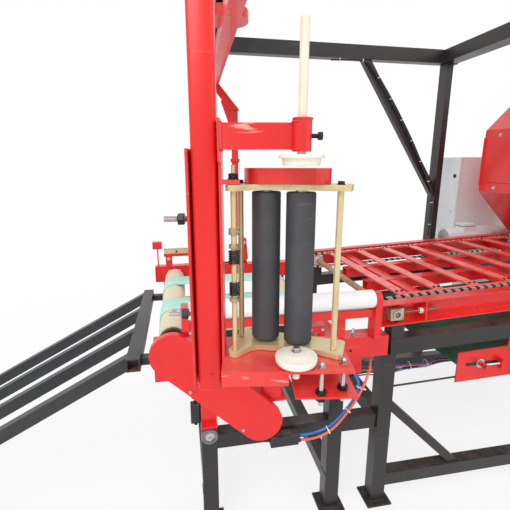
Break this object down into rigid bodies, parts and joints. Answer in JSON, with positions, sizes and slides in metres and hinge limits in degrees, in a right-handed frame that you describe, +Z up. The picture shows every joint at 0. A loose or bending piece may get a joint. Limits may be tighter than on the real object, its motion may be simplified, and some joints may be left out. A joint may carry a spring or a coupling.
{
  "type": "bale film wrapping machine",
  "caption": "Roller table bale wrapper with a turning film arm, pre-stretch cage, infeed slat conveyor under a gantry, chamber front and a sloping discharge ramp.",
  "frame": {"origin": "centre of the bounding box's bottom, on the floor", "axes": "+Z up, +X along the conveyor towards the bale chamber, +Y towards the control cabinet side"},
  "size_m": [4.09, 2.2542, 2.312],
  "materials": {
    "red_paint": "glossy red enamel",
    "black_paint": "satin black enamel",
    "charcoal_paint": "dull charcoal paint",
    "yellow_zinc": "yellow zinc plate",
    "steel": "bright zinc plate",
    "rusty_steel": "bare shaft with light rust",
    "dark_steel": "oiled black steel",
    "rubber": "dark rubber sleeve",
    "cream_sleeve": "cream roller sleeve",
    "nylon": "cast nylon",
    "white_tube": "white roller tube",
    "mint_belt": "mint belt",
    "green_belt": "dark green textured belt",
    "machine_grey": "light grey paint",
    "blue_hose": "blue air hose",
    "red_hose": "orange-red air hose"
  },
  "bodies": {
    "frame": {"wrapper_stand": "black_paint", "conveyor_stand": "black_paint", "gantry_frame": "black_paint", "table_frame": "red_paint", "table_belt_near": "mint_belt", "table_belt_far": "mint_belt", "drive_guard": "red_paint", "table_drive_chain": "dark_steel", "table_gearmotor": "machine_grey", "side_roller_bracket": "red_paint", "idler_bracket": "red_paint", "limit_switch": "dark_steel", "cutter_bracket": "red_paint", "discharge_ramp": "charcoal_paint", "conveyor_frame": "red_paint", "takeup_block_near": "yellow_zinc", "takeup_block_far": "yellow_zinc", "conveyor_chain_near": "dark_steel", "conveyor_chain_far": "dark_steel", "conveyor_gearmotor": "machine_grey", "return_belt": "green_belt", "return_belt_frame": "red_paint", "bale_chamber": "red_paint", "control_cabinet": "machine_grey", "rotor_gearmotor": "machine_grey", "air_hose_blue": "blue_hose", "air_hose_red": "red_hose", "air_valve_block": "dark_steel", "brace_cable": "dark_steel"},
    "rotor": {"rotor_arm": "red_paint", "wrap_column": "red_paint", "idle_column": "red_paint", "carriage_frame": "red_paint", "pivot_rod": "yellow_zinc", "spring_lower": "dark_steel", "spring_upper": "dark_steel", "stud_plate": "red_paint"},
    "cage": {"cage_bottom_plate": "yellow_zinc", "cage_top_plate": "yellow_zinc", "cage_post_left": "yellow_zinc", "cage_post_right": "yellow_zinc", "gear_cover": "red_paint"},
    "slow_roller": {"stretch_roller_slow": "rubber"},
    "fast_roller": {"stretch_roller_fast": "rubber"},
    "lower_cone": {"lower_cone": "nylon"},
    "film_rod": {"film_rod": "nylon"},
    "upper_cone": {"upper_cone": "nylon"},
    "clamp_bolt": {"clamp_bolt": "dark_steel"},
    "table_roller_left": {"table_roller_left": "cream_sleeve"},
    "table_roller_right": {"table_roller_right": "cream_sleeve"},
    "table_pinion": {"table_pinion": "dark_steel"},
    "side_roller": {"side_roller": "white_tube"},
    "idler_wheel": {"idler_wheel": "rubber"},
    "slat_mat": {"slat_mat": "red_paint"},
    "tail_shaft": {"tail_shaft": "rusty_steel"},
    "head_shaft": {"head_shaft": "steel"},
    "cutter": {"cutter_carrier": "red_paint", "saw_blade": "yellow_zinc"},
    "film_clamp": {"film_clamp": "red_paint"},
    "cabinet_door": {"cabinet_door": "machine_grey"}
  },
  "joints": [
    {"name": "rotor_spin", "type": "hinge", "parent": "frame", "child": "rotor", "pos_m": [-0.49999, 0.03841, 1.985], "axis": [0, 0, 1], "continuous": true},
    {"name": "cage_swing", "type": "hinge", "parent": "rotor", "child": "cage", "pos_m": [-0.62569, -1.02445, 1.23], "axis": [0, 0, 1], "range_deg": [0, 25], "stiffness_Nm_per_rad": 4},
    {"name": "stretch_slow_spin", "type": "hinge", "parent": "cage", "child": "slow_roller", "pos_m": [-0.55521, -0.98225, 1.23], "axis": [0, 0, 1], "continuous": true},
    {"name": "stretch_fast_spin", "type": "hinge", "parent": "cage", "child": "fast_roller", "pos_m": [-0.49446, -1.01391, 1.23], "axis": [0, 0, 1], "continuous": true},
    {"name": "lower_cone_spin", "type": "hinge", "parent": "rotor", "child": "lower_cone", "pos_m": [-0.51792, -1.0831, 1.08], "axis": [0, 0, 1], "continuous": true},
    {"name": "film_rod_slide", "type": "slide", "parent": "rotor", "child": "film_rod", "axis": [0, 0, 1], "range_m": [-0.09, 0]},
    {"name": "upper_cone_spin", "type": "hinge", "parent": "film_rod", "child": "upper_cone", "pos_m": [-0.51792, -1.0831, 1.443], "axis": [0, 0, 1], "continuous": true},
    {"name": "clamp_bolt_turn", "type": "hinge", "parent": "rotor", "child": "clamp_bolt", "pos_m": [-0.48143, -1.08923, 1.482], "axis": [0.9862, -0.1656, 0], "range_deg": [0, 360]},
    {"name": "table_roller_left_spin", "type": "hinge", "parent": "frame", "child": "table_roller_left", "pos_m": [-0.76999, 0.03841, 0.795], "axis": [0, 1, 0], "continuous": true},
    {"name": "table_roller_right_spin", "type": "hinge", "parent": "frame", "child": "table_roller_right", "pos_m": [-0.22999, 0.03841, 0.795], "axis": [0, 1, 0], "continuous": true},
    {"name": "table_pinion_spin", "type": "hinge", "parent": "frame", "child": "table_pinion", "pos_m": [-0.45399, -0.43159, 0.492], "axis": [0, 1, 0], "continuous": true},
    {"name": "side_roller_spin", "type": "hinge", "parent": "frame", "child": "side_roller", "pos_m": [-0.36399, -0.45159, 0.944], "axis": [1, 0, 0], "continuous": true},
    {"name": "idler_wheel_spin", "type": "hinge", "parent": "frame", "child": "idler_wheel", "pos_m": [-0.64999, -0.46609, 0.45], "axis": [0, 1, 0], "continuous": true},
    {"name": "slat_advance", "type": "slide", "parent": "frame", "child": "slat_mat", "axis": [0.9989, 0, 0.0464], "range_m": [-0.086, 0.086]},
    {"name": "tail_shaft_turn", "type": "hinge", "parent": "frame", "child": "tail_shaft", "pos_m": [0.08742, 0.03841, 0.86853], "axis": [0, 1, 0], "range_deg": [-150, 150]},
    {"name": "head_shaft_turn", "type": "hinge", "parent": "frame", "child": "head_shaft", "pos_m": [1.45094, 0.03841, 0.93188], "axis": [0, 1, 0], "range_deg": [-150, 150]},
    {"name": "cutter_tilt", "type": "hinge", "parent": "frame", "child": "cutter", "pos_m": [-0.79999, 0.52341, 0.905], "axis": [0, -1, 0], "range_deg": [0, 45]},
    {"name": "film_clamp_swing", "type": "hinge", "parent": "frame", "child": "film_clamp", "pos_m": [-0.35999, 0.51091, 0.985], "axis": [0, 1, 0], "range_deg": [0, 70]},
    {"name": "cabinet_door_swing", "type": "hinge", "parent": "frame", "child": "cabinet_door", "pos_m": [1.22251, 1.05841, 1.1], "axis": [0, 0, -1], "range_deg": [0, 110]}
  ],
  "couplings": [
    {"joint": "stretch_fast_spin", "follows": "stretch_slow_spin", "ratio": -1.15},
    {"joint": "table_roller_right_spin", "follows": "table_roller_left_spin", "ratio": 1},
    {"joint": "table_pinion_spin", "follows": "table_roller_left_spin", "ratio": 1},
    {"joint": "tail_shaft_turn", "follows": "slat_advance", "rad_per_m": 24.7},
    {"joint": "head_shaft_turn", "follows": "slat_advance", "rad_per_m": 24.7}
  ]
}
